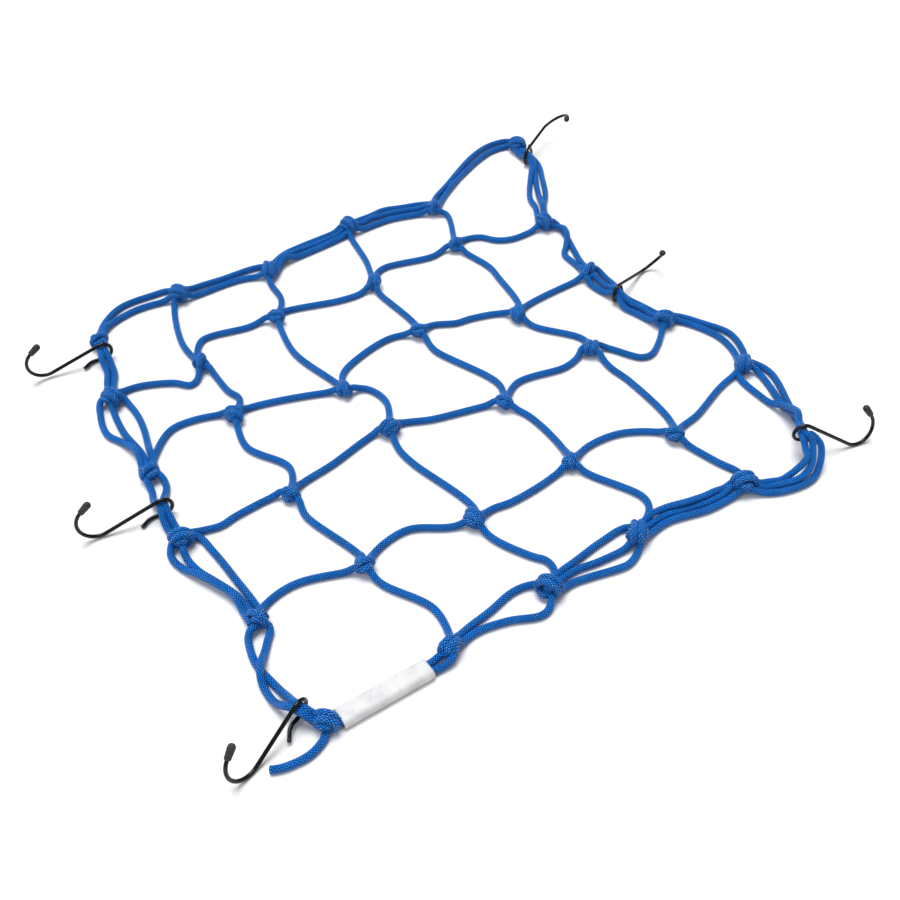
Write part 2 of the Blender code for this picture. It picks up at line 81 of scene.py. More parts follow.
class WayRound(Enum):
    """Which way a knot's turns run."""

    LEFT = 1.0
    RIGHT = -1.0


@dataclass(frozen=True)
class Knot:
    """A knot.

    Args:
        x: its place along the front edge.
        y: its place towards the back edge.
        width: its width over all.
        heading: the heading of the axis of its turns, in degrees.
        tie: how many turns lie round it.
        way: which way its turns run.
    """

    x: float
    y: float
    width: float
    heading: float
    tie: Tie = Tie.SINGLE
    way: WayRound = WayRound.LEFT


@dataclass(frozen=True)
class Strand:
    """A cord between two knots.

    Args:
        start: the name of the knot where it starts.
        end: the name of the knot where it ends.
        bends: the places of its bends in the plan.
        hook: the name of the hook whose eye holds it, if any.
    """

    start: str
    end: str
    bends: tuple[tuple[float, float], ...]
    hook: str = ""


@dataclass(frozen=True)
class HookPlace:
    """Where a hook lies.

    Args:
        x: the place of its eye along the front edge.
        y: the place of its eye towards the back edge.
        heading: the heading of its shank, in degrees.
        slope: how far its bow dips below the eye, in degrees.
        bow_lean: how far its bow leans over, in degrees.
        eye_lean: how far its eye leans over, in degrees.
    """

    x: float
    y: float
    heading: float
    slope: float
    bow_lean: float
    eye_lean: float


# A knot's name is its column, counted from the left, and its row, counted from the front.
KNOTS: dict[str, Knot] = {
    "00": Knot(-1, -7, 16, 60, Tie.DOUBLE),
    "10": Knot(85, -4, 15, 120, Tie.DOUBLE),
    "20": Knot(160, -2, 18, 20, Tie.DOUBLE, WayRound.RIGHT),
    "30": Knot(233, 1, 18, 150, Tie.DOUBLE),
    "40": Knot(321, -5, 18, 80, Tie.DOUBLE),
    "01": Knot(0, 77, 16, 10, Tie.SINGLE, WayRound.RIGHT),
    "11": Knot(75, 77, 15, 100),
    "21": Knot(154, 70, 15, 40, Tie.DOUBLE),
    "31": Knot(238, 76, 14, 130, Tie.SINGLE, WayRound.RIGHT),
    "41": Knot(314, 56, 14, 70),
    "51": Knot(404, 82, 16, 150, Tie.DOUBLE),
    "02": Knot(-11, 161, 16, 90, Tie.DOUBLE),
    "12": Knot(66, 156, 14, 20, Tie.SINGLE, WayRound.RIGHT),
    "22": Knot(153, 172, 15, 110, Tie.DOUBLE),
    "32": Knot(235, 149, 14, 50),
    "42": Knot(323, 160, 14, 140, Tie.DOUBLE),
    "52": Knot(390, 154, 16, 30, Tie.DOUBLE, WayRound.RIGHT),
    "03": Knot(-4, 226, 15, 120),
    "13": Knot(69, 245, 14, 60, Tie.DOUBLE),
    "23": Knot(147, 224, 14, 150, Tie.SINGLE, WayRound.RIGHT),
    "33": Knot(227, 249, 14, 80),
    "43": Knot(301, 223, 14, 10, Tie.DOUBLE),
    "53": Knot(380, 234, 16, 100, Tie.SINGLE, WayRound.RIGHT),
    "04": Knot(4, 309, 16, 40, Tie.DOUBLE),
    "14": Knot(74, 308, 15, 130, Tie.SINGLE, WayRound.RIGHT),
    "24": Knot(145, 324, 14, 70),
    "34": Knot(230, 319, 14, 160, Tie.DOUBLE),
    "44": Knot(312, 324, 14, 90, Tie.SINGLE, WayRound.RIGHT),
    "54": Knot(391, 308, 16, 20, Tie.DOUBLE),
    "05": Knot(21, 373, 15, 110),
    "15": Knot(95, 391, 16, 50, Tie.DOUBLE),
    "25": Knot(168, 378, 16, 140, Tie.DOUBLE, WayRound.RIGHT),
    "35": Knot(252, 395, 16, 30, Tie.DOUBLE),
    "45": Knot(326, 378, 15, 120, Tie.SINGLE, WayRound.RIGHT),
    "55": Knot(443, 417, 16, 60, Tie.DOUBLE),
}

# Cords that run side by side are listed from the left one to the right one.
STRANDS: tuple[Strand, ...] = (
    Strand("04", "14", ((12, 314), (25, 314), (49, 303), (58, 294), (64, 296))),
    Strand("14", "24", ((78, 324), (88, 335), (123, 329), (136, 329))),
    Strand("24", "34", ((152, 330), (197, 318), (213, 316))),
    Strand("34", "44", ((239, 330), (249, 334), (289, 325), (303, 327))),
    Strand("44", "54", ((324, 329), (337, 325), (346, 314), (358, 308))),
    Strand("03", "13", ((8, 244), (29, 260), (63, 253))),
    Strand("13", "23", ((78, 249), (137, 231))),
    Strand("23", "33", ((156, 242), (174, 251), (208, 257))),
    Strand("33", "43", ((241, 252), (258, 244), (271, 242), (295, 233))),
    Strand("43", "53", ((313, 230),)),
    Strand("02", "12", ((-2, 164), (16, 160), (28, 162), (61, 162))),
    Strand("12", "22", ((74, 162), (103, 167), (147, 176))),
    Strand("22", "32", ((162, 175), (184, 166), (231, 153))),
    Strand("32", "42", ((257, 163), (296, 157), (310, 160), (319, 164))),
    Strand("42", "52", ((333, 159), (350, 134), (358, 132), (370, 138))),
    Strand("01", "11", ((8, 86), (32, 91))),
    Strand("11", "21", ((90, 86), (115, 89), (138, 76))),
    Strand("21", "31", ((170, 73), (184, 71), (209, 72), (229, 75))),
    Strand("31", "41", ((259, 83), (287, 80), (311, 64))),
    Strand("41", "51", ((325, 61), (342, 64), (378, 77))),
    Strand("15", "14", ((89, 387), (73, 340))),
    Strand("14", "13", ((77, 301), (78, 273), (81, 261))),
    Strand("13", "12", ((63, 214), (78, 181))),
    Strand("12", "11", ((68, 151), (66, 136), (78, 87))),
    Strand("11", "10", ((78, 60), (94, 27), (90, 3))),
    Strand("25", "24", ((163, 368), (160, 344))),
    Strand("24", "23", ((138, 282), (147, 236))),
    Strand("23", "22", ((162, 219), (167, 200))),
    Strand("22", "21", ((149, 153), (150, 137), (161, 80))),
    Strand("21", "20", ((157, 50), (168, 27), (174, 18), (173, 9))),
    Strand("35", "34", ((248, 386), (241, 349))),
    Strand("34", "33", ((228, 310), (231, 261))),
    Strand("33", "32", ((228, 241), (227, 226), (245, 169))),
    Strand("32", "31", ((243, 131), (243, 89))),
    Strand("31", "30", ((244, 60), (260, 26), (257, 16))),
    Strand("45", "44", ((327, 373), (332, 368))),
    Strand("44", "43", ((320, 287), (318, 271), (311, 234))),
    Strand("43", "42", ((306, 206), (327, 175))),
    Strand("42", "41", ((325, 153), (324, 137), (326, 119), (323, 70))),
    Strand("41", "40", ((323, 22), (328, 6))),
    Strand("05", "15", ((33, 394), (52, 406), (79, 406), (91, 404))),
    Strand("05", "15", ((31, 387), (58, 396), (88, 392))),
    Strand("15", "25", ((107, 396), (132, 394), (167, 390))),
    Strand("15", "25", ((103, 387), (146, 385))),
    Strand("25", "35", ((189, 395), (206, 397), (240, 398))),
    Strand("25", "35", ((186, 390), (203, 392), (237, 393))),
    Strand("25", "35", ((184, 385), (200, 386), (234, 388))),
    Strand("35", "45", ((264, 402), (277, 402), (290, 403), (305, 398), (327, 389))),
    Strand("35", "45", ((266, 397), (292, 396), (323, 384))),
    Strand("35", "45", ((257, 389), (272, 389), (290, 388), (319, 378))),
    Strand("45", "55", ((336, 392), (355, 403), (403, 430), (426, 436), (444, 432))),
    Strand("45", "55", ((344, 390), (379, 411), (421, 427), (439, 424))),
    Strand("55", "54", ((443, 386), (432, 364), (420, 344), (407, 329)), "back_right"),
    Strand("55", "54", ((437, 384), (421, 358), (411, 340), (404, 327)), "back_right"),
    Strand("55", "54", ((436, 386), (423, 370), (413, 358), (405, 346), (401, 333)), "back_right"),
    Strand("54", "53", ((400, 304), (400, 294), (396, 281), (386, 252))),
    Strand("54", "53", ((399, 297), (396, 283), (387, 273), (381, 267), (380, 249))),
    Strand("53", "52", ((389, 233), (389, 222), (388, 210), (388, 186), (392, 172)), "right"),
    Strand("53", "52", ((382, 212), (383, 186), (386, 178)), "right"),
    Strand("53", "52", ((374, 229), (374, 219), (376, 209), (377, 187), (381, 173)), "right"),
    Strand("52", "51", ((402, 157), (416, 136), (424, 117), (418, 96))),
    Strand("52", "51", ((399, 152), (414, 122), (412, 100))),
    Strand(
        "51",
        "40",
        (
            (414, 83), (418, 68), (406, 38), (398, 23), (383, -6),
            (384, -12), (376, -21), (363, -26), (339, -22),
        ),
        "front_right",
    ),
    Strand(
        "51",
        "40",
        ((410, 74), (400, 37), (394, 21), (377, -10), (368, -20), (359, -22), (349, -21), (337, -16)),
        "front_right",
    ),
    Strand(
        "51",
        "40",
        ((395, 76), (394, 50), (395, 32), (391, 19), (372, -9), (367, -16), (351, -16), (332, -8)),
        "front_right",
    ),
    Strand("40", "30", ((315, -8), (289, -7), (258, 0))),
    Strand("40", "30", ((314, -2), (299, -3), (254, 5))),
    Strand("40", "30", ((314, 1), (299, 1), (282, 3), (255, 9))),
    Strand("30", "20", ((229, -7), (222, -11), (215, -13), (207, -12), (187, -7), (176, -5))),
    Strand("30", "20", ((224, -2), (202, -1), (181, 2))),
    Strand("30", "20", ((233, 11), (212, 11), (190, 8), (176, 6))),
    Strand("20", "10", ((157, -9), (152, -13), (145, -14), (126, -6), (104, -2))),
    Strand("20", "10", ((154, 8), (147, 10), (139, 10), (121, 6), (102, 3))),
    Strand("10", "00", ((76, -5), (70, -5.7), (38, -5.7), (7, -5.7))),
    Strand("10", "00", ((84, -10), (76, -11.5), (68, -10.9), (38, -10.9), (7, -10.9))),
    Strand("01", "00", ((-9, 72), (-13, 63), (-15, 50), (-13, 35), (-11, 23)), "front_left"),
    Strand("01", "00", ((4, 70), (-2, 62), (-14, 47), (-18, 39), (-19, 30), (-18, 18)), "front_left"),
    Strand("02", "01", ((0, 158), (2, 145), (3, 134), (4, 114), (5, 95))),
    Strand("02", "01", ((-14, 151), (-14, 142), (-12, 132), (-8, 122), (-1, 101))),
    Strand("02", "01", ((-21, 157), (-22, 150), (-19, 139), (-10, 119), (-4, 102))),
    Strand("03", "02", ((2, 219), (1, 211), (-5, 201), (-9, 180)), "left"),
    Strand("03", "02", ((-8, 221), (-9, 212), (-12, 202), (-14, 180)), "left"),
    Strand("04", "03", ((11, 308), (13, 296), (13, 284), (11, 270), (6, 250))),
    Strand("04", "03", ((1, 301), (-2, 275), (0, 248))),
    Strand("04", "03", ((-5, 310), (-9, 300), (-12, 288), (-12, 278), (-7, 267), (-3, 248))),
    Strand("05", "04", ((19, 347), (17, 336), (12, 326)), "back_left"),
    Strand("05", "04", ((14, 349), (13, 340), (8, 328)), "back_left"),
)

# The cut end of the cord, from the near left knot.
LOOSE_END = ((-4, -13), (-10, -16), (-19, -19), (-28, -18), (-36, -17), (-41, -14))

HOOKS: dict[str, HookPlace] = {
    "back_left": HookPlace(18, 358, 174.5, 16, -1, 0),
    "left": HookPlace(-10, 191, 173, 17.6, 7, 0),
    "front_left": HookPlace(-11, 6, -158, 21.5, 14.5, 0),
    "front_right": HookPlace(377.4, -0.6, -26.4, 33.2, -23.8, 0),
    "right": HookPlace(380, 198.6, 22, 17, 33, 0),
    "back_right": HookPlace(438.7, 395.9, 31, -1, 54.5, 0),
}


def linear(code: str) -> tuple[float, float, float, float]:
    """Turns an sRGB hex value into a linear colour.

    Args:
        code: six hex digits.

    Returns:
        The linear red, green and blue, and an alpha of one.
    """
    channels = [int(code[place : place + 2], 16) / 255 for place in (0, 2, 4)]
    light = [c / 12.92 if c <= 0.04045 else ((c + 0.055) / 1.055) ** 2.4 for c in channels]
    return light[0], light[1], light[2], 1.0


def add_node(tree: Any, kind: str, settings: dict[str, Any], **links: Any) -> Any:
    """Adds a node to a material's tree.

    Args:
        tree: the node tree.
        kind: the node's type, without its leading ShaderNode.
        settings: values by the name of a setting, or by the number of an input.
        links: for an input called by its name with _ for a space, or by in and its number, the output
            that feeds it.

    Returns:
        The node.
    """
    node = tree.nodes.new("ShaderNode" + kind)
    for name, value in settings.items():
        if isinstance(name, int) or name in node.inputs:
            node.inputs[name].default_value = value
        else:
            setattr(node, name, value)
    for name, source in links.items():
        place: Any = int(name[2:]) if name[2:].isdigit() else name.replace("_", " ")
        tree.links.new(source, node.inputs[place])
    return node


def new_material(name: str) -> tuple[Any, Any, Any]:
    """Makes an empty material with a surface shader.

    Args:
        name: the material's name.

    Returns:
        The material, its node tree and its surface shader.
    """
    material = bpy.data.materials.new(name)
    material.use_nodes = True
    tree = material.node_tree
    return material, tree, tree.nodes["Principled BSDF"]


def set_values(surface: Any, values: dict[str, Any]) -> None:
    """Sets values on a surface shader's own inputs.

    Args:
        surface: the shader.
        values: the values, by the name of their input.
    """
    for name, value in values.items():
        surface.inputs[name].default_value = value


def ring_faces(first: int, rings: int, sides: int) -> list[tuple[int, ...]]:
    """Lists the faces between rings of vertices.

    Args:
        first: the number of the first vertex.
        rings: how many rings there are.
        sides: how many vertices a ring has.

    Returns:
        The faces.
    """
    faces = []
    for low in range(first, first + (rings - 1) * sides, sides):
        for corner in range(sides):
            beside = (corner + 1) % sides
            faces.append((low + corner, low + beside, low + sides + beside, low + sides + corner))
    return faces


def smooth_curve(points: list[Vector], spacing: float) -> list[Vector]:
    """Lays a centripetal Catmull-Rom curve through points.

    Args:
        points: the points, in order.
        spacing: about how far apart the curve's own points are.

    Returns:
        The points of the curve.
    """
    ends = [points[0] * 2 - points[1], *points, points[-1] * 2 - points[-2]]
    curve = []
    for before, first, second, after in zip(ends, ends[1:], ends[2:], ends[3:]):
        chords = (first - before, second - first, after - second)
        spans = [max(chord.length, TINY) ** 0.5 for chord in chords]
        start_speed = (first - before) / spans[0] - (second - before) / (spans[0] + spans[1])
        start_speed = (start_speed + (second - first) / spans[1]) * spans[1]
        end_speed = (second - first) / spans[1] - (after - first) / (spans[1] + spans[2])
        end_speed = (end_speed + (after - second) / spans[2]) * spans[1]
        count = max(2, round((second - first).length / spacing))
        for step in range(count):
            t = step / count
            curve.append(
                first * (2 * t**3 - 3 * t**2 + 1)
                + start_speed * (t**3 - 2 * t**2 + t)
                + second * (3 * t**2 - 2 * t**3)
                + end_speed * (t**3 - t**2)
            )
    curve.append(points[-1].copy())
    return curve


def evenly(points: list[Vector], spacing: float) -> list[Vector]:
    """Walks along a line and sets points at even steps.

    Args:
        points: the line.
        spacing: about how far apart the new points are.

    Returns:
        The new points, from the line's first to its last.
    """
    lengths = [(b - a).length for a, b in zip(points, points[1:])]
    count = max(2, round(sum(lengths) / spacing))
    step = sum(lengths) / count
    made, piece, walked = [points[0].copy()], 0, 0.0
    for number in range(1, count):
        aim = number * step
        while walked + lengths[piece] < aim:
            walked += lengths[piece]
            piece += 1
        made.append(points[piece].lerp(points[piece + 1], (aim - walked) / lengths[piece]))
    made.append(points[-1].copy())
    return made


@dataclass
class SweptMesh:
    """Gathers round tubes, with a map of turns round and along each, into one mesh.

    Args:
        radius: the tubes' radius.
        sides: how many sides a tube has.
    """

    radius: float
    sides: int
    vertices: list[Vector] = field(default_factory=list)
    faces: list[tuple[int, ...]] = field(default_factory=list)
    corners: list[tuple[float, float]] = field(default_factory=list)

    def rings(self, line: list[Vector], start: CordEnd, end: CordEnd) -> list[tuple[int, float]]:
        """Lists the cross sections of a tube.

        Args:
            line: the tube's middle line.
            start: how the tube starts.
            end: how the tube ends.

        Returns:
            For each section the number of its point on the line, its shift along the line and its
            radius, both as shares of the tube's radius.
        """
        profiles = {
            CordEnd.HIDDEN: ((0.0, 1.0),),
            CordEnd.SHEARED: ((0.0, 0.86), (0.14, 1.0)),
            CordEnd.MELTED: ((-0.12, 0.2), (-0.08, 0.5), (0.0, 0.78), (0.16, 0.97), (0.4, 1.06)),
        }
        last = len(line) - 1
        listed = [(0, shift, share) for shift, share in profiles[start]]
        listed += [(number, 0.0, 1.0) for number in range(1, last)]
        listed += [(last, -shift, share) for shift, share in reversed(profiles[end])]
        return listed

    def add(
        self,
        line: list[Vector],
        start: CordEnd = CordEnd.HIDDEN,
        end: CordEnd = CordEnd.HIDDEN,
        side: Vector = UP,
    ) -> None:
        """Adds a tube, with sections that don't twist along it.

        Args:
            line: its middle line.
            start: how it starts.
            end: how it ends.
            side: a direction across its start.
        """
        first, walked = len(self.vertices), 0.0
        round_it = 2 * math.pi * self.radius
        marks = []
        last = len(line) - 1
        listed = self.rings(line, start, end)
        previous = line[0]
        for number, shift, share in listed:
            along = (line[min(number + 1, last)] - line[max(number - 1, 0)]).normalized()
            side = (side - along * side.dot(along)).normalized()
            other = along.cross(side)
            middle = line[number] + along * shift * self.radius
            walked += (middle - previous).length
            previous = middle
            marks.append(walked / round_it)
            for corner in range(self.sides):
                turn = 2 * math.pi * corner / self.sides
                out = side * math.cos(turn) + other * math.sin(turn)
                self.vertices.append(middle + out * self.radius * share)
        self.faces += ring_faces(first, len(listed), self.sides)
        for ring in range(len(listed) - 1):
            for corner in range(self.sides):
                left, right = corner / self.sides, (corner + 1) / self.sides
                self.corners += [
                    (left, marks[ring]),
                    (right, marks[ring]),
                    (right, marks[ring + 1]),
                    (left, marks[ring + 1]),
                ]
        top = first + (len(listed) - 1) * self.sides
        self.faces.append(tuple(first + corner for corner in reversed(range(self.sides))))
        self.faces.append(tuple(top + corner for corner in range(self.sides)))
        for mark in (marks[0], marks[-1]):
            self.corners += [(corner / self.sides, mark) for corner in range(self.sides)]

    def build(self, name: str, material: Any) -> Any:
        """Makes the mesh object.

        Args:
            name: its name.
            material: its material.

        Returns:
            The object.
        """
        made = mesh_object(name, self.vertices, self.faces, material)
        layer = made.data.uv_layers.new(name=BRAID_MAP)
        layer.data.foreach_set("uv", [value for corner in self.corners for value in corner])
        return made


def mesh_object(name: str, vertices: list[Vector], faces: list[tuple[int, ...]], material: Any) -> Any:
    """Makes a smooth mesh object from places in the plan.

    Args:
        name: its name.
        vertices: its vertices, in millimetres.
        faces: its faces.
        material: its material.

    Returns:
        The object, in metres, in the part's frame.
    """
    mesh = bpy.data.meshes.new(name)
    mesh.from_pydata([(vertex - PLAN_MIDDLE) * MM for vertex in vertices], [], faces)
    mesh.polygons.foreach_set("use_smooth", [True] * len(mesh.polygons))
    mesh.materials.append(material)
    made = bpy.data.objects.new(name, mesh)
    bpy.context.scene.collection.objects.link(made)
    return made


@dataclass(frozen=True)
class BraidedPolyester:
    """Braided polyester sleeve over a rubber core.

    Polyester yarn has a soft lustre. The braid shows as rows of small raised stitches, with painted
    shade in the grooves between them. Painted glints dot the crowns of the stitches, strongest in the
    copy of the material for the knots, where the sleeve is stretched.

    Args:
        name: the material's name.
        glint_strength: how strongly the painted glints show, from 0 to 1.
    """

    name: str
    glint_strength: float
    yarn: str = "177EE2"
    # Painted shade: the dark blue that fills the grooves between the stitches.
    between: str = "011F58"
    painted_glint: str = "8FBFE6"
    carriers: int = 8  # stitches round the cord, so that one is 1.9 mm wide
    rows: float = 7.0  # stitches along one girth of 15.2 mm, so that one is 2.2 mm long

    def material(self) -> Any:
        """Makes the material.

        Returns:
            The material.
        """
        material, tree, surface = new_material(self.name)
        place = add_node(tree, "UVMap", {"uv_map": BRAID_MAP})
        parts = add_node(tree, "SeparateXYZ", {}, Vector=place.outputs[0])
        turns = add_node(tree, "Math", {"operation": "MULTIPLY", 1: self.carriers}, in0=parts.outputs[0])
        along = add_node(tree, "Math", {"operation": "MULTIPLY", 1: self.rows}, in0=parts.outputs[1])
        bumps, cells = [], []
        for way in ("ADD", "SUBTRACT"):
            thread = add_node(tree, "Math", {"operation": way}, in0=turns.outputs[0], in1=along.outputs[0])
            share = add_node(tree, "Math", {"operation": "FRACT"}, in0=thread.outputs[0])
            half = add_node(tree, "Math", {"operation": "MULTIPLY", 1: math.pi}, in0=share.outputs[0])
            bump = add_node(tree, "Math", {"operation": "SINE"}, in0=half.outputs[0])
            cell = add_node(tree, "Math", {"operation": "FLOOR"}, in0=thread.outputs[0])
            bumps.append(bump)
            cells.append(cell)
        both = add_node(tree, "Math", {"operation": "ADD"}, in0=cells[0].outputs[0], in1=cells[1].outputs[0])
        above = add_node(tree, "Math", {"operation": "PINGPONG", 1: 1.0}, in0=both.outputs[0])
        over, ends = (
            add_node(tree, "Mix", {}, in0=above.outputs[0], in2=one.outputs[0], in3=other.outputs[0])
            for one, other in (bumps, reversed(bumps))
        )
        stitch = add_node(tree, "Math", {"operation": "POWER", 1: 0.5}, in0=ends.outputs[0])
        height = add_node(
            tree, "Math", {"operation": "MULTIPLY"}, in0=over.outputs[0], in1=stitch.outputs[0]
        )
        world = add_node(tree, "TexCoord", {})
        # The blue drifts in patches about 11 mm across, and the painted glints are about 1 mm across.
        patches = add_node(tree, "TexNoise", {"Scale": 90.0, "Detail": 3.0}, Vector=world.outputs["Object"])
        fine = add_node(tree, "TexNoise", {"Scale": 900.0, "Detail": 2.0}, Vector=world.outputs["Object"])
        # Painted shade: the grooves between the stitches are coloured dark blue, the raised stitches the
        # yarn's blue.
        groove_shade_tone = add_node(
            tree,
            "MapRange",
            {"From Min": 0.1, "From Max": 0.75, "To Min": 0.0, "To Max": 1.0},
            Value=height.outputs[0],
        )
        colour = add_node(
            tree,
            "Mix",
            {"data_type": "RGBA", 6: linear(self.between), 7: linear(self.yarn)},
            in0=groove_shade_tone.outputs[0],
        )
        drift = add_node(
            tree,
            "MapRange",
            {"From Min": 0.3, "From Max": 0.7, "To Min": 0.88, "To Max": 1.12},
            Value=patches.outputs[0],
        )
        toned = add_node(
            tree,
            "Mix",
            {"data_type": "RGBA", "blend_type": "MULTIPLY", 0: 1.0},
            in6=colour.outputs[2],
            in7=drift.outputs[0],
        )
        # Painted glints: light dots in random places, kept to the crowns of the stitches.
        sparse = add_node(
            tree,
            "MapRange",
            {"From Min": 0.5, "From Max": 0.62, "To Min": 0.0, "To Max": self.glint_strength},
            Value=fine.outputs[0],
        )
        crown = add_node(
            tree,
            "MapRange",
            {"From Min": 0.55, "From Max": 0.95, "To Min": 0.0, "To Max": 1.0},
            Value=height.outputs[0],
        )
        painted_glint_mask = add_node(
            tree, "Math", {"operation": "MULTIPLY"}, in0=sparse.outputs[0], in1=crown.outputs[0]
        )
        with_painted_glints = add_node(
            tree,
            "Mix",
            {"data_type": "RGBA", 7: linear(self.painted_glint)},
            in0=painted_glint_mask.outputs[0],
            in6=toned.outputs[2],
        )
        tree.links.new(with_painted_glints.outputs[2], surface.inputs["Base Color"])
        relief = add_node(tree, "Bump", {"Strength": 1.0, "Distance": 0.0006}, Height=height.outputs[0])
        tree.links.new(relief.outputs[0], surface.inputs["Normal"])
        values = {
            "Roughness": 0.42, "IOR": 1.57, "Specular IOR Level": 0.45,
            "Specular Tint": linear("4C9AF0"), "Sheen Weight": 0.03, "Sheen Roughness": 0.4,
            "Sheen Tint": linear("9CC8EE"),
        }
        set_values(surface, values)
        return material


@dataclass(frozen=True)
class DippedSteel:
    """Steel wire dipped in black vinyl paint.

    The paint is a smooth gloss coat, so the wire shows a thin bright line along it.
    """

    name: str = "black dipped steel wire"
    paint: str = "060607"

    def material(self) -> Any:
        """Makes the material.

        Returns:
            The material.
        """
        material, tree, surface = new_material(self.name)
        world = add_node(tree, "TexCoord", {})
        # The paint ran into waves about 2.5 mm long before it set.
        waves = add_node(tree, "TexNoise", {"Scale": 400.0, "Detail": 2.0}, Vector=world.outputs["Object"])
        gloss = add_node(
            tree,
            "MapRange",
            {"From Min": 0.3, "From Max": 0.7, "To Min": 0.1, "To Max": 0.2},
            Value=waves.outputs[0],
        )
        relief = add_node(tree, "Bump", {"Strength": 0.15, "Distance": 0.0001}, Height=waves.outputs[0])
        tree.links.new(gloss.outputs[0], surface.inputs["Roughness"])
        tree.links.new(relief.outputs[0], surface.inputs["Normal"])
        set_values(surface, {"Base Color": linear(self.paint), "IOR": 1.45, "Specular IOR Level": 0.4})
        return material


@dataclass(frozen=True)
class MouldedRubber:
    """Moulded synthetic rubber, matt, with a fine grain from its mould and a little dust."""

    name: str = "dark moulded rubber"
    rubber: str = "242426"
    dust: str = "3C3C3E"

    def material(self) -> Any:
        """Makes the material.

        Returns:
            The material.
        """
        material, tree, surface = new_material(self.name)
        world = add_node(tree, "TexCoord", {})
        # The mould's grain is about 0.4 mm wide, and the dust lies in patches about 4 mm across.
        grain = add_node(tree, "TexNoise", {"Scale": 2500.0, "Detail": 3.0}, Vector=world.outputs["Object"])
        wear = add_node(tree, "TexNoise", {"Scale": 260.0, "Detail": 3.0}, Vector=world.outputs["Object"])
        share = add_node(
            tree,
            "MapRange",
            {"From Min": 0.45, "From Max": 0.75, "To Min": 0.0, "To Max": 0.6},
            Value=wear.outputs[0],
        )
        colour = add_node(
            tree,
            "Mix",
            {"data_type": "RGBA", 6: linear(self.rubber), 7: linear(self.dust)},
            in0=share.outputs[0],
        )
        relief = add_node(tree, "Bump", {"Strength": 0.3, "Distance": 0.0001}, Height=grain.outputs[0])
        tree.links.new(colour.outputs[2], surface.inputs["Base Color"])
        tree.links.new(relief.outputs[0], surface.inputs["Normal"])
        set_values(surface, {"Roughness": 0.68, "IOR": 1.52})
        return material


@dataclass(frozen=True)
class WovenSatin:
    """White satin tape, woven from fine bright yarn, so it has a soft gloss across its threads."""

    name: str = "white woven satin tape"
    tape: str = "DADADB"
    shade: str = "B2B4BA"
    thread: float = 0.8  # mm between threads, coarser than the real 0.15 so that it shows

    def material(self) -> Any:
        """Makes the material.

        Returns:
            The material.
        """
        material, tree, surface = new_material(self.name)
        world = add_node(tree, "TexCoord", {})
        scale = BAND_PITCH / (self.thread * MM)
        warp, weft = (
            add_node(
                tree,
                "TexWave",
                {"Scale": scale, "bands_direction": way, "Distortion": 0.4},
                Vector=world.outputs["Object"],
            )
            for way in "XY"
        )
        weave = add_node(tree, "Math", {"operation": "ADD"}, in0=warp.outputs[1], in1=weft.outputs[1])
        # Painted shade: grey patches about 8 mm apart, for the shade in the tape's creases.
        crease_shade = add_node(tree, "TexNoise", {"Scale": 120.0, "Detail": 3.0}, Vector=world.outputs["Object"])
        share = add_node(
            tree,
            "MapRange",
            {"From Min": 0.4, "From Max": 0.8, "To Min": 0.0, "To Max": 0.7},
            Value=crease_shade.outputs[0],
        )
        colour = add_node(
            tree,
            "Mix",
            {"data_type": "RGBA", 6: linear(self.tape), 7: linear(self.shade)},
            in0=share.outputs[0],
        )
        relief = add_node(tree, "Bump", {"Strength": 0.5, "Distance": 0.00012}, Height=weave.outputs[0])
        tree.links.new(colour.outputs[2], surface.inputs["Base Color"])
        tree.links.new(relief.outputs[0], surface.inputs["Normal"])
        set_values(surface, {"Roughness": 0.5, "IOR": 1.5, "Sheen Weight": 0.2})
        return material


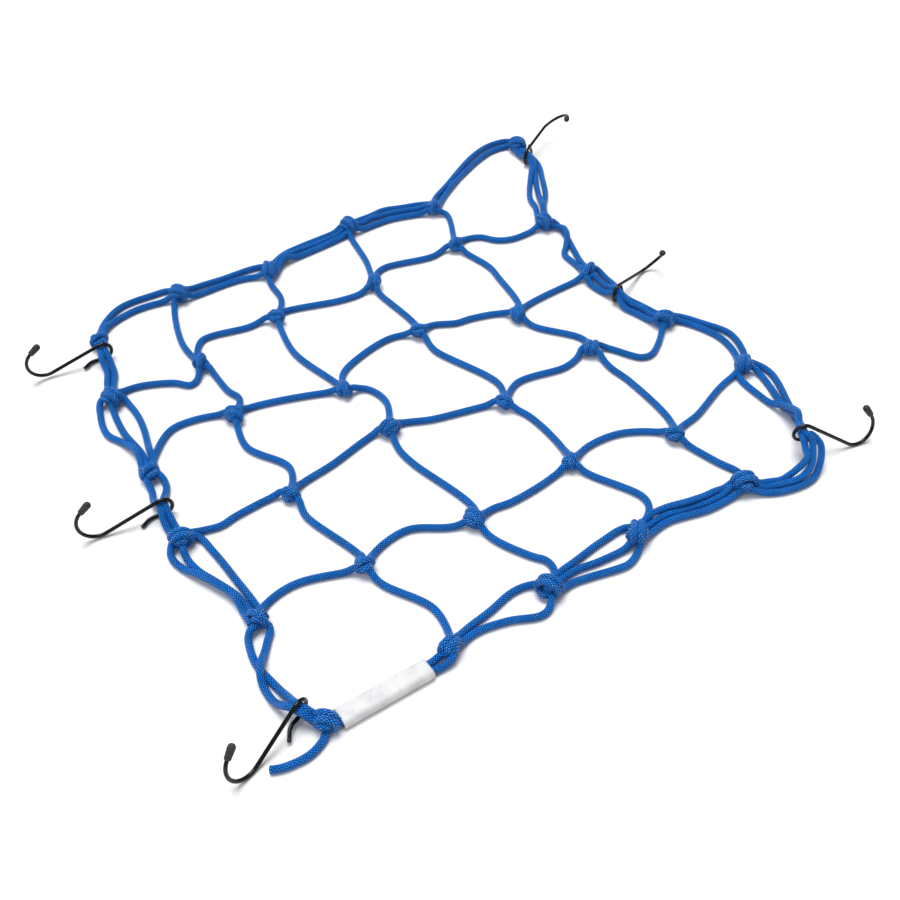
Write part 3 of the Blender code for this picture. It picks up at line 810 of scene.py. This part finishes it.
@dataclass
class WireHook:
    """A hook bent from one wire, with a closed eye, an open bow and a rubber tip.

    Args:
        name: which hook it is.
        place: where it lies.
    """

    name: str
    place: HookPlace
    wire_radius: float = 1.3
    shank: float = 38.0
    bow_radius: float = 12.7
    bow_turn: float = 158.0
    arm: float = 8.0
    eye_radius: float = 6.6
    eye_turn: float = 200.0
    tail: float = 9.0
    tail_end: float = 9.0
    tail_aside: float = 37.0
    # Where the straight stretches have points, as shares of their length.
    end_shares: tuple[float, ...] = (1.0, 0.6, 0.2)
    tail_shares: tuple[float, ...] = (0.8, 0.4)
    shank_shares: tuple[float, ...] = (0.25, 0.5, 0.75)
    arm_shares: tuple[float, ...] = (0.33, 0.66, 1.0)
    steps: int = 30
    sides: int = 16
    tip_radius: float = 2.45
    mouth_radius: float = 2.1
    tip_sides: int = 28
    dome_height: float = 2.3
    dome_steps: int = 6
    tip_length: float = 9.6
    tip_cover: float = 1.6
    tip_play: float = 0.02  # between the wire and the tip's bore
    tip_shoulder: float = 3.4  # from the top of the dome down to where the side starts to narrow
    tip_top: float = 0.12  # the radius of the small flat on the dome
    bore_depth: float = 1.5
    bore_flare: tuple[float, float] = (0.25, 0.3)  # how much wider the bore opens, over what depth
    # The mouth's rounded lip: how far each point lies in from the mouth's radius and up from its edge.
    lip: tuple[tuple[float, float], ...] = ((0.35, 0.0), (0.1, 0.15), (0.0, 0.5))

    def frame(self, lean: float) -> Matrix:
        """Turns the hook's plane: local x runs along the shank, and local z points to the bow's side."""
        angles = [math.radians(angle) for angle in (lean, self.place.slope, self.place.heading)]
        return Euler(angles, "XYZ").to_matrix()

    def path(self) -> tuple[list[Vector], Vector]:
        """Bends the wire.

        Returns:
            The wire's middle line from its short end to its tip, and the middle of its eye.
        """
        eye_frame, bow_frame = self.frame(self.place.eye_lean), self.frame(self.place.bow_lean)
        eye = []
        for step in range(self.steps):
            turn = math.radians(self.eye_turn * (1 - step / (self.steps - 1)))
            eye.append(eye_frame @ Vector((-math.sin(turn), 0, math.cos(turn) - 1)) * self.eye_radius)
        turn, aside = math.radians(self.eye_turn), math.radians(self.tail_aside)
        ahead = Vector((-math.cos(turn), 0, -math.sin(turn)))
        out = ahead * math.cos(aside) + Vector((0, math.sin(aside), 0))
        straight = [eye[0] + eye_frame @ ahead * self.tail * share for share in self.tail_shares]
        bend = eye[0] + eye_frame @ ahead * self.tail
        tail = [bend + eye_frame @ out * self.tail_end * share for share in self.end_shares] + straight
        bow = []
        for step in range(self.steps):
            turn = math.radians(self.bow_turn * step / (self.steps - 1))
            round_bow = Vector((math.sin(turn), 0, 1 - math.cos(turn))) * self.bow_radius
            bow.append(bow_frame @ (Vector((self.shank, 0, 0)) + round_bow))
        turn = math.radians(self.bow_turn)
        onward = bow_frame @ Vector((math.cos(turn), 0, math.sin(turn)))
        arm = [bow[-1] + onward * self.arm * share for share in self.arm_shares]
        middle = eye_frame @ Vector((0, 0, -self.eye_radius))
        shank = [eye[-1].lerp(bow[0], share) for share in self.shank_shares]
        line = tail + eye + shank + bow + arm
        lift = self.wire_radius - min(point.z for point in line)
        shift = Vector((self.place.x - middle.x, self.place.y - middle.y, lift))
        return [point + shift for point in line], middle + shift

    def build(self, wire: Any, rubber: Any) -> None:
        """Makes the wire and its rubber tip.

        Args:
            wire: the wire's material.
            rubber: the tip's material.
        """
        line = self.path()[0]
        swept = SweptMesh(self.wire_radius, self.sides)
        swept.add(smooth_curve(line, 1.0), CordEnd.SHEARED, CordEnd.HIDDEN)
        hook = swept.build(f"wire_{self.name}", wire)
        settle(hook, "black_wire", f"hook_{self.name}")
        tip = self.build_tip(line, rubber)
        settle(tip, "dark_rubber", f"tip_{self.name}")

    def build_tip(self, line: list[Vector], rubber: Any) -> Any:
        """Makes the rubber tip, turned round the wire's end.

        Args:
            line: the wire's middle line.
            rubber: the tip's material.

        Returns:
            The tip.
        """
        end = line[-1]
        along = (line[-1] - line[-2]).normalized()
        side = along.orthogonal().normalized()
        other = along.cross(side)
        bore, dome = self.wire_radius + self.tip_play, self.tip_cover
        mouth = dome - self.tip_length
        wider, deep = self.bore_flare
        outline = [(bore, mouth + self.bore_depth), (bore, mouth + deep), (bore + wider, mouth)]
        outline += [(self.mouth_radius - inward, mouth + up) for inward, up in self.lip]
        outline.append((self.tip_radius, dome - self.tip_shoulder))
        for step in range(1, self.dome_steps + 1):
            turn = math.radians(90 * step / self.dome_steps)
            reach = dome - self.dome_height + self.dome_height * math.sin(turn)
            outline.append((self.tip_radius * max(math.cos(turn), 0.0), reach))
        outline[-1] = (self.tip_top, dome)
        sides = self.tip_sides
        vertices = []
        for radius, reach in outline:
            for corner in range(sides):
                turn = 2 * math.pi * corner / sides
                out = side * math.cos(turn) + other * math.sin(turn)
                vertices.append(end + along * reach + out * radius)
        faces = ring_faces(0, len(outline), sides)
        faces.append(tuple(reversed(range(sides))))
        faces.append(tuple((len(outline) - 1) * sides + corner for corner in range(sides)))
        return mesh_object(f"cap_{self.name}", vertices, faces, rubber)


def settle(piece: Any, slot: str, *nodes: str) -> None:
    """Makes a piece ride on the part, in place of the solids that it stands for.

    Args:
        piece: the piece.
        slot: the name of a material slot; not used.
        nodes: the names of the solids.
    """
    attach(piece, "root")
    if nodes:
        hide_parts(*nodes)
    LOG.info("%s: %d faces", piece.name, len(piece.data.polygons))


@dataclass
class TiedNet:
    """The net: cords between knots, the turns of the knots, and the loose end.

    Args:
        hooks: the hooks in its border, by name.
    """

    hooks: dict[str, WireHook]
    cord_radius: float = 2.42
    pile: float = 4.9  # between the middles of two cords that touch
    knot_height: float = 5.5
    knot_reach: float = 8.0
    knot_clear: float = 18.0
    steepest: float = 0.6
    sample: float = 3.0
    spacing: float = 2.1
    beside: float = 5.0  # a cord looks this far round itself for cords that it lies on
    eased: int = 40  # rounds of averaging that take the kinks out of the loose end
    sides: int = 14
    loop_steps: int = 60
    loop_tightness: float = 3.3  # an overhand loop reaches this many times its own measure
    loop_lean: float = 42.0
    loop_weave: float = 1.9  # how far the cord rises and dips where the loop crosses itself
    turn_steps: int = 40
    turn_pitch: float = 0.9  # turns lie this share of a cord's width apart, so they bed in
    turn_skew: float = 1.3
    turn_squash: float = 0.9
    eye_reach: float = 16.0
    eye_spread: float = 1.7
    label_span: tuple[float, float] = (6.5, 71.5)
    label_middle: float = -8.3
    label_half: float = 7.0
    label_lift: float = 1.1

    def eye_point(self, name: str, count: int, number: int) -> Vector:
        """Finds where one of the cords in a hook's eye has its middle.

        Args:
            name: the hook.
            count: how many cords run through its eye.
            number: which one of them it is.

        Returns:
            The place.
        """
        seats = {2: 1.7, 3: 0.6}
        turns = {2: (0, 180), 3: (330, 90, 210)}
        heading = math.radians(self.hooks[name].place.heading)
        sideways = Vector((math.cos(heading), math.sin(heading), 0))
        if sideways.x < 0:
            sideways = -sideways
        turn = math.radians(turns[count][number])
        spread = (sideways * math.cos(turn) + UP * math.sin(turn)) * self.eye_spread
        return self.hooks[name].path()[1] + spread + UP * seats[count]

    def rest_height(self, point: Vector) -> float:
        """Finds how high a cord's middle lies on the surface, or on the label under it."""
        inside = self.label_span[0] < point.x < self.label_span[1]
        inside = inside and abs(point.y - self.label_middle) < self.label_half
        return self.cord_radius + (self.label_lift if inside else 0.0)

    def port(self, name: str, toward: Vector, number: int, count: int) -> Vector:
        """Finds where a cord meets its knot's middle, beside the others that run the same way."""
        knot = KNOTS[name]
        middle = Vector((knot.x, knot.y, self.knot_height))
        away = Vector((toward.x - knot.x, toward.y - knot.y, 0)).normalized()
        left = Vector((-away.y, away.x, 0))
        return middle + left * self.pile * ((count - 1) / 2 - number)

    def plan(self, strand: Strand) -> tuple[list[Vector], Vector | None]:
        """Draws a cord's curve in the plan.

        Args:
            strand: the cord.

        Returns:
            The curve, and the point that a hook's eye holds, if any.
        """
        points = [Vector((x, y, self.cord_radius)) for x, y in strand.bends]
        beside = [other for other in STRANDS if (other.start, other.end) == (strand.start, strand.end)]
        number, count = beside.index(strand), len(beside)
        held = None
        if strand.hook:
            held = self.eye_point(strand.hook, count, number)
            points.insert(sum(1 for point in points if point.y > held.y), held)
        first = self.port(strand.start, points[0], number, count)
        last = self.port(strand.end, points[-1], count - 1 - number, count)
        return smooth_curve([first, *points, last], self.sample), held

    def routes(self) -> list[list[Vector]]:
        """Lays every cord on the surface, or on the cords that are listed before it.

        Returns:
            The middle line of each cord.
        """
        routes: list[list[Vector]] = []
        laid: list[tuple[Strand, list[Vector]]] = []
        for strand in STRANDS:
            route, held = self.plan(strand)
            ends = {name: Vector((KNOTS[name].x, KNOTS[name].y)) for name in (strand.start, strand.end)}
            margin = Vector((self.beside, self.beside))
            low = Vector((min(p.x for p in route), min(p.y for p in route))) - margin
            high = Vector((max(p.x for p in route), max(p.y for p in route))) + margin
            close = [
                (other, [q for q in line if low.x < q.x < high.x and low.y < q.y < high.y])
                for other, line in laid
            ]
            close = [(other, line) for other, line in close if line]
            fixed = []
            for point in route:
                near = {name: (point.xy - end).length for name, end in ends.items()}
                fixed.append(True)
                if held is not None and (point.xy - held.xy).length < self.pile:
                    point.z = held.z
                elif min(near.values()) < self.knot_reach:
                    point.z = self.knot_height
                else:
                    fixed[-1] = False
                    point.z = self.height_on(point, strand, near, held, close)
            self.ease(route, fixed)
            laid.append((strand, [point for point, in_place in zip(route, fixed) if not in_place]))
            routes.append(route)
        return routes

    def height_on(
        self,
        point: Vector,
        strand: Strand,
        near: dict[str, float],
        held: Vector | None,
        close: list[tuple[Strand, list[Vector]]],
    ) -> float:
        """Finds how high a point of a cord lies.

        Args:
            point: the point.
            strand: its cord.
            near: how far it is from the cord's two knots.
            held: the point of the cord that an eye holds, if any.
            close: the cords that were laid before, and their points nearby.

        Returns:
            The height of the cord's middle.
        """
        height = self.rest_height(point)
        beside_eye = held is not None and (point.xy - held.xy).length < self.eye_reach
        shared = {name for name, distance in near.items() if distance < self.knot_clear}
        for other, line in close:
            if beside_eye and other.hook == strand.hook or shared & {other.start, other.end}:
                continue
            for under in line:
                apart = (point.xy - under.xy).length
                if apart < self.pile:
                    height = max(height, under.z + math.sqrt(self.pile**2 - apart**2))
        return height

    def ease(self, route: list[Vector], fixed: list[bool]) -> None:
        """Lets a cord come down gently from what it lies on.

        Args:
            route: its middle line, whose heights are changed.
            fixed: which of its points keep their height.
        """
        for order in (range(1, len(route)), range(len(route) - 2, -1, -1)):
            for number in order:
                if not fixed[number]:
                    beside = route[number - order.step]
                    drop = (route[number].xy - beside.xy).length * self.steepest
                    route[number].z = max(route[number].z, beside.z - drop)
        for _ in range(2):
            heights = [point.z for point in route]
            for number in range(1, len(route) - 1):
                if not fixed[number]:
                    around = (heights[number - 1] + 2 * heights[number] + heights[number + 1]) / 4
                    route[number].z = max(around, self.cord_radius)

    def loop(self, knot: Knot) -> list[Vector]:
        """Turns the cord into the overhand loops in the middle of a knot.

        Args:
            knot: the knot.

        Returns:
            The cord's middle line.
        """
        reach = (knot.width / 2 - self.cord_radius) / self.loop_tightness
        turn_about = Matrix.Rotation(math.radians(knot.heading), 3, "Z")
        lean = Matrix.Rotation(math.radians(self.loop_lean * knot.way.value), 3, "X")
        line = []
        for step in range(self.loop_steps + 1):
            t = 2 * math.pi * step / self.loop_steps + math.pi / 6
            flat = Vector((math.sin(t) + 2 * math.sin(2 * t), math.cos(t) - 2 * math.cos(2 * t), 0)) * reach
            flat.x *= knot.way.value
            line.append(turn_about @ lean @ (flat - UP * self.loop_weave * math.sin(3 * t)))
        return line

    def wraps(self, knot: Knot) -> list[list[Vector]]:
        """Turns the cord round a knot.

        Args:
            knot: the knot.

        Returns:
            The middle line of each turn.
        """
        across = knot.width / 2 - self.cord_radius
        turn_about = Matrix.Rotation(math.radians(knot.heading), 3, "Z")
        lines = []
        for number in range(knot.tie.value):
            shift = (number - (knot.tie.value - 1) / 2) * 2 * self.cord_radius * self.turn_pitch
            line = []
            for step in range(self.turn_steps + 1):
                t = 2 * math.pi * step / self.turn_steps - math.pi / 2
                skew = self.turn_skew * knot.way.value * math.cos(t)
                rise = (across - self.turn_squash) * math.sin(t)
                ring = Vector((shift + skew, across * math.cos(t), rise))
                line.append(turn_about @ ring)
            lines.append(line)
        return lines

    def build(self, cord: Any, stretched: Any) -> None:
        """Makes the cords and the knots.

        Args:
            cord: the material of the cords between the knots.
            stretched: the material of the cord in the knots.
        """
        cords = SweptMesh(self.cord_radius, self.sides)
        for route in self.routes():
            cords.add(evenly(smooth_curve(route, 1.0), self.spacing))
        near = KNOTS["00"]
        loose = [Vector((near.x, near.y, self.knot_height))]
        loose += [Vector((x, y, self.cord_radius)) for x, y in LOOSE_END]
        line = smooth_curve(loose, 1.0)
        for _ in range(self.eased):
            around = [(a + b * 2 + c) / 4 for a, b, c in zip(line, line[1:], line[2:])]
            line = [line[0], *around, line[-1]]
        cords.add(evenly(line, self.spacing), CordEnd.HIDDEN, CordEnd.MELTED)
        knots = SweptMesh(self.cord_radius, self.sides)
        for knot in KNOTS.values():
            place = Vector((knot.x, knot.y, self.knot_height))
            for line in (self.loop(knot), *self.wraps(knot)):
                lift = max(0.0, self.cord_radius - min(point.z for point in line) - self.knot_height)
                knots.add([place + point + UP * lift for point in line])
        settle(cords.build("net_cords", cord), "blue_cord", "net")
        settle(knots.build("net_knots", stretched), "blue_cord", "net")


@dataclass
class WrappedLabel:
    """A strip of satin tape, wrapped round the two cords of the front edge and lapped below them."""

    start: float = 67.5
    end: float = 6.5
    middle: float = -8.3
    width: float = 13.6
    height: float = 7.0
    lap: float = 5.0
    waist: float = 0.35  # how far the tape dips between the two cords
    thickness: float = 0.25
    steps: int = 40
    round_steps: int = 12
    under_steps: int = 8
    under_height: float = 0.35  # of the covered end above the lap that hides it
    under_lift: float = 0.3  # how much higher its edge stands
    ripple: float = 0.16
    waves: tuple[tuple[float, float], ...] = ((17.0, 0.35), (5.0, 0.21))  # radians along and round

    def section(self) -> list[Vector]:
        """Draws the tape's section, across the cords.

        Returns:
            The points of the section, from under one cord round both of them and past its start.
        """
        half = self.height / 2
        flat = self.width / 2 - half
        points = []
        for step in range(self.under_steps + 1):
            x = -self.lap / 2 + (flat + self.lap / 2) * step / self.under_steps
            lift = self.under_lift * (1 - step / self.under_steps)
            points.append(Vector((0, x, self.under_height + lift)))
        for step in range(1, self.round_steps):
            turn = math.radians(-90 + 180 * step / self.round_steps)
            points.append(Vector((0, flat + half * math.cos(turn), half + half * math.sin(turn))))
        for step in range(self.round_steps + 1):
            x = flat - 2 * flat * step / self.round_steps
            dip = self.waist * (1 - (x / flat) ** 2)
            points.append(Vector((0, x, self.height - dip)))
        for step in range(1, self.round_steps):
            turn = math.radians(90 + 180 * step / self.round_steps)
            points.append(Vector((0, -flat + half * math.cos(turn), half + half * math.sin(turn))))
        for step in range(self.under_steps + 1):
            x = -flat + (flat + self.lap / 2) * step / self.under_steps
            points.append(Vector((0, x, 0.0)))
        return points

    def build(self, tape: Any) -> None:
        """Makes the label.

        Args:
            tape: its material.
        """
        section = self.section()
        vertices, faces = [], []
        for step in range(self.steps + 1):
            share = step / self.steps
            x = self.start + (self.end - self.start) * share
            for number, point in enumerate(section):
                ripple = self.ripple
                for along, round_it in self.waves:
                    ripple *= math.sin(share * along + number * round_it)
                rise = max(point.z + ripple * (1 if point.z > 1 else 0), self.thickness / 2)
                vertices.append(Vector((x, self.middle + point.y, rise)))
        count = len(section)
        for step in range(self.steps):
            for number in range(count - 1):
                low = step * count + number
                faces.append((low, low + 1, low + count + 1, low + count))
        label = mesh_object("wrapped_label", vertices, faces, tape)
        walls = label.modifiers.new("walls", "SOLIDIFY")
        walls.thickness = self.thickness * MM
        walls.offset = 0.0
        settle(label, "white_label", "label")


@dataclass
class Studio:
    """A pale floor, soft light from above and the camera."""

    azimuth: float = -34.0
    elevation: float = 45.8
    distance: float = 0.8316
    look_at: tuple[float, float, float] = (-0.03302, -0.06953, 0.0)
    floor_size: float = 60.0
    sky: float = 0.32  # the strength of the even white light from all round

    def camera(self) -> None:
        """Sets up the camera at the photograph's angle."""
        azimuth, elevation = math.radians(self.azimuth), math.radians(self.elevation)
        back = Vector(
            (
                math.sin(azimuth) * math.cos(elevation),
                -math.cos(azimuth) * math.cos(elevation),
                math.sin(elevation),
            )
        )
        data = bpy.data.cameras.new("camera")
        data.lens = 48.0
        data.sensor_width = 36.0
        data.clip_start = 0.01
        camera = bpy.data.objects.new("camera", data)
        camera.location = Vector(self.look_at) + back * self.distance
        camera.rotation_mode = "QUATERNION"
        camera.rotation_quaternion = (-back).to_track_quat("-Z", "Y")
        bpy.context.scene.collection.objects.link(camera)
        bpy.context.scene.camera = camera

    def light(self, name: str, place: Vector, spread: float, strength: float) -> None:
        """Adds a soft light that falls on the part equally everywhere.

        Args:
            name: its name.
            place: the side that it comes from.
            spread: how wide it looks from the part, in degrees, which sets how soft its shadows are.
            strength: its strength in watts per square metre.
        """
        data = bpy.data.lights.new(name, "SUN")
        data.angle = math.radians(spread)
        data.energy = strength
        lamp = bpy.data.objects.new(name, data)
        lamp.location = place
        lamp.rotation_mode = "QUATERNION"
        lamp.rotation_quaternion = (-place).to_track_quat("-Z", "Y")
        bpy.context.scene.collection.objects.link(lamp)

    def build(self) -> None:
        """Makes the floor, the lights and the camera."""
        half = self.floor_size / 2
        mesh = bpy.data.meshes.new("floor")
        corners = [(-half, -half, 0), (half, -half, 0), (half, half, 0), (-half, half, 0)]
        mesh.from_pydata(corners, [], [(0, 1, 2, 3)])
        floor = bpy.data.objects.new("floor", mesh)
        material, _, surface = new_material("pale floor")
        set_values(surface, {"Base Color": linear("F4F4F4"), "Roughness": 0.9})
        mesh.materials.append(material)
        bpy.context.scene.collection.objects.link(floor)
        world = bpy.data.worlds.new("studio")
        world.use_nodes = True
        white = world.node_tree.nodes["Background"]
        white.inputs[0].default_value = (1.0, 1.0, 1.0, 1.0)
        white.inputs[1].default_value = self.sky
        bpy.context.scene.world = world
        bpy.context.scene.view_settings.view_transform = "Standard"
        self.light("overhead", Vector((0.1, 0.5, 1.6)), spread=40.0, strength=3.0)
        self.light("side", Vector((-1.2, -0.2, 1.1)), spread=40.0, strength=0.6)
        self.camera()


def main() -> None:
    """Builds the pieces in order and dresses them."""
    logging.basicConfig(level=logging.INFO, format="%(message)s")
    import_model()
    Studio().build()
    hooks = {name: WireHook(name, place) for name, place in HOOKS.items()}
    # Both cord materials carry painted groove shade and painted glints; the knots' copy has the stronger
    # glints.
    cord = BraidedPolyester("blue braided cord", 0.25).material()
    stretched = BraidedPolyester("stretched blue braid", 0.9).material()
    TiedNet(hooks).build(cord, stretched)
    wire, rubber = DippedSteel().material(), MouldedRubber().material()
    for hook in hooks.values():
        hook.build(wire, rubber)
    WrappedLabel().build(WovenSatin().material())


if __name__ == "__main__":
    main()
